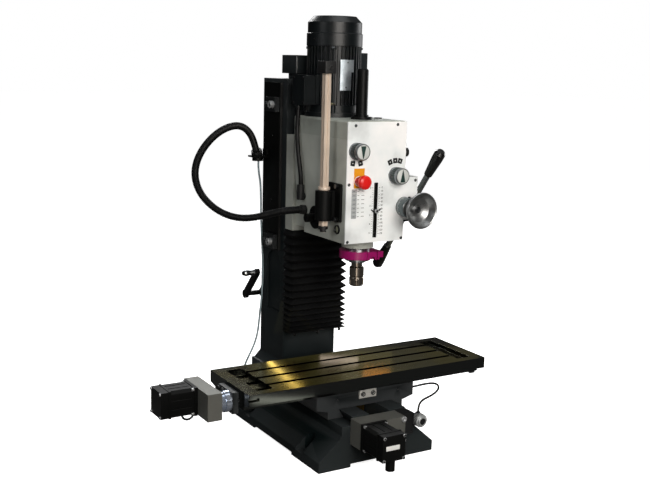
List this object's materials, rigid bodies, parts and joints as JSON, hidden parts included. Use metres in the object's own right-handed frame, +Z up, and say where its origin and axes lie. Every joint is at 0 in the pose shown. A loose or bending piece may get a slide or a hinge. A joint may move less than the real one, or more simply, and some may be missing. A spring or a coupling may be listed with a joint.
{
  "type": "benchtop milling machine",
  "caption": "Column milling machine: dovetailed saddle and T-slot table on a cast base, head with quill, feed levers and motor on a vertical slide, belt-driven screw on each axis.",
  "frame": {"origin": "centre of the four foot bolts, on the plane the feet stand on", "axes": "+Z up, -Y towards the operator, +X along the table to the operator's right"},
  "size_m": [1.036, 0.7865, 1.257],
  "materials": {
    "dark_paint": "matt enamel",
    "black_paint": "matt enamel",
    "grey_paint": "satin enamel",
    "panel_white": "satin powder coat",
    "ground_iron": "ground",
    "steel": "turned",
    "polished_steel": "polished",
    "cast_aluminium": "bead blasted",
    "bronze": "machined",
    "rubber": "matt",
    "black_plastic": "matt",
    "grey_plastic": "matt",
    "red_plastic": "gloss",
    "magenta_paint": "gloss enamel"
  },
  "bodies": {
    "frame": {"base": "dark_paint", "column": "dark_paint", "z_cover": "black_paint", "z_cover_blocks": "cast_aluminium", "y_belt_box": "cast_aluminium", "y_motor": "black_paint", "y_belt": "rubber", "y_switch": "black_plastic", "z_belt_box": "dark_paint", "z_motor": "black_paint", "z_belt": "rubber", "conduit_clamp": "black_paint", "column_cable": "grey_plastic", "conduit": "black_plastic", "y_cable": "rubber", "bellows": "rubber"},
    "y_screw": {"y_screw": "steel"},
    "y_motor_pulley": {"y_motor_pulley": "steel"},
    "z_screw": {"z_screw": "steel"},
    "z_motor_pulley": {"z_motor_pulley": "steel"},
    "crank": {"crank": "black_paint"},
    "crank_handle": {"crank_handle": "steel"},
    "saddle": {"saddle": "dark_paint", "saddle_plate": "steel", "lead_nuts": "bronze"},
    "table": {"table": "ground_iron", "x_end_plates": "dark_paint", "x_sleeve": "polished_steel", "x_belt_box": "cast_aluminium", "x_motor": "black_paint", "x_belt": "rubber"},
    "x_screw": {"x_screw": "steel"},
    "x_motor_pulley": {"x_motor_pulley": "steel"},
    "head": {"head_casting": "grey_paint", "head_cover": "grey_paint", "front_panel": "panel_white", "motor_body": "black_paint", "fan_cowl": "black_paint", "terminal_box": "black_paint", "drawbar_cover": "black_plastic", "guard_bracket": "black_paint", "head_glands": "black_plastic", "spring_housing": "black_paint", "motor_lead": "rubber"},
    "motor_rotor": {"motor_rotor": "steel"},
    "idler_gear": {"idler_gear": "steel"},
    "spindle_gear": {"spindle_gear": "steel"},
    "quill": {"quill": "steel", "clamp_collar": "magenta_paint"},
    "spindle": {"spindle": "steel", "collet_chuck": "steel"},
    "feed_lever": {"lever_hub": "black_paint", "quill_levers": "steel", "lever_grips": "black_plastic"},
    "handwheel": {"handwheel": "polished_steel"},
    "selector_a": {"selector_a": "cast_aluminium"},
    "selector_b": {"selector_b": "cast_aluminium"},
    "stop_button": {"stop_button": "red_plastic"},
    "depth_pointer": {"depth_pointer": "black_paint"},
    "guard_rod": {"guard_rod": "steel"}
  },
  "joints": [
    {"name": "saddle_y", "type": "slide", "parent": "frame", "child": "saddle", "axis": [0, 1, 0], "range_m": [-0.065, 0.12]},
    {"name": "table_x", "type": "slide", "parent": "saddle", "child": "table", "axis": [1, 0, 0], "range_m": [-0.23, 0.23]},
    {"name": "head_z", "type": "slide", "parent": "frame", "child": "head", "axis": [0, 0, 1], "range_m": [-0.16, 0.15], "deforming": ["bellows"]},
    {"name": "quill_feed", "type": "slide", "parent": "head", "child": "quill", "axis": [0, 0, -1], "range_m": [0, 0.115]},
    {"name": "lever_turn", "type": "hinge", "parent": "head", "child": "feed_lever", "pos_m": [0.205, -0.0946, 0.69], "axis": [1, 0, 0], "range_deg": [0, 460]},
    {"name": "handwheel_turn", "type": "hinge", "parent": "head", "child": "handwheel", "pos_m": [0.097, -0.228, 0.728], "axis": [0, -1, 0], "continuous": true},
    {"name": "rotor_spin", "type": "hinge", "parent": "head", "child": "motor_rotor", "pos_m": [0, 0.015, 1], "axis": [0, 0, 1], "continuous": true},
    {"name": "idler_spin", "type": "hinge", "parent": "head", "child": "idler_gear", "pos_m": [0, -0.0495, 0.876], "axis": [0, 0, 1], "continuous": true},
    {"name": "gear_spin", "type": "hinge", "parent": "head", "child": "spindle_gear", "pos_m": [0, -0.142, 0.876], "axis": [0, 0, 1], "continuous": true},
    {"name": "spindle_spin", "type": "hinge", "parent": "quill", "child": "spindle", "pos_m": [0, -0.142, 0.7], "axis": [0, 0, 1], "continuous": true},
    {"name": "x_screw_turn", "type": "hinge", "parent": "table", "child": "x_screw", "pos_m": [0, -0.164, 0.212], "axis": [1, 0, 0], "continuous": true},
    {"name": "x_pulley_turn", "type": "hinge", "parent": "table", "child": "x_motor_pulley", "pos_m": [-0.473, -0.096, 0.212], "axis": [1, 0, 0], "continuous": true},
    {"name": "y_screw_turn", "type": "hinge", "parent": "frame", "child": "y_screw", "pos_m": [0, -0.2, 0.108], "axis": [0, 1, 0], "continuous": true},
    {"name": "y_pulley_turn", "type": "hinge", "parent": "frame", "child": "y_motor_pulley", "pos_m": [-0.056, -0.3105, 0.108], "axis": [0, 1, 0], "continuous": true},
    {"name": "z_screw_turn", "type": "hinge", "parent": "frame", "child": "z_screw", "pos_m": [0, 0.175, 0.8], "axis": [0, 0, 1], "continuous": true},
    {"name": "z_pulley_turn", "type": "hinge", "parent": "frame", "child": "z_motor_pulley", "pos_m": [0.145, 0.175, 1.1175], "axis": [0, 0, 1], "continuous": true},
    {"name": "crank_turn", "type": "hinge", "parent": "frame", "child": "crank", "pos_m": [-0.1, 0.316, 0.38], "axis": [1, 0, 0], "continuous": true},
    {"name": "crank_handle_spin", "type": "hinge", "parent": "crank", "child": "crank_handle", "pos_m": [-0.157, 0.236, 0.467], "axis": [1, 0, 0], "continuous": true},
    {"name": "selector_a_turn", "type": "hinge", "parent": "head", "child": "selector_a", "pos_m": [-0.07, -0.228, 0.889], "axis": [0, -1, 0], "range_deg": [-30, 30]},
    {"name": "selector_b_turn", "type": "hinge", "parent": "head", "child": "selector_b", "pos_m": [0.063, -0.228, 0.819], "axis": [0, -1, 0], "range_deg": [-40, 40]},
    {"name": "stop_press", "type": "slide", "parent": "head", "child": "stop_button", "axis": [0, 1, 0], "range_m": [0, 0.006], "stiffness_N_per_m": 900, "springref_m": -0.002},
    {"name": "depth_stop", "type": "slide", "parent": "head", "child": "depth_pointer", "axis": [0, 0, 1], "range_m": [-0.066, 0.07]},
    {"name": "guard_swing", "type": "hinge", "parent": "head", "child": "guard_rod", "pos_m": [-0.13, -0.164, 0.73], "axis": [0, 0, 1], "range_deg": [-60, 60]}
  ],
  "couplings": [
    {"joint": "quill_feed", "follows": "lever_turn", "m_per_rad": 0.0142},
    {"joint": "handwheel_turn", "follows": "lever_turn", "ratio": 20},
    {"joint": "idler_spin", "follows": "rotor_spin", "ratio": -0.52257},
    {"joint": "gear_spin", "follows": "rotor_spin", "ratio": 0.44},
    {"joint": "spindle_spin", "follows": "rotor_spin", "ratio": 0.44},
    {"joint": "x_screw_turn", "follows": "table_x", "rad_per_m": 1256.6},
    {"joint": "x_pulley_turn", "follows": "table_x", "rad_per_m": 1256.6},
    {"joint": "y_screw_turn", "follows": "saddle_y", "rad_per_m": 1256.6},
    {"joint": "y_pulley_turn", "follows": "saddle_y", "rad_per_m": 1256.6},
    {"joint": "z_screw_turn", "follows": "head_z", "rad_per_m": 1256.6},
    {"joint": "z_pulley_turn", "follows": "head_z", "rad_per_m": 1256.6},
    {"joint": "crank_turn", "follows": "head_z", "rad_per_m": 628.32}
  ]
}
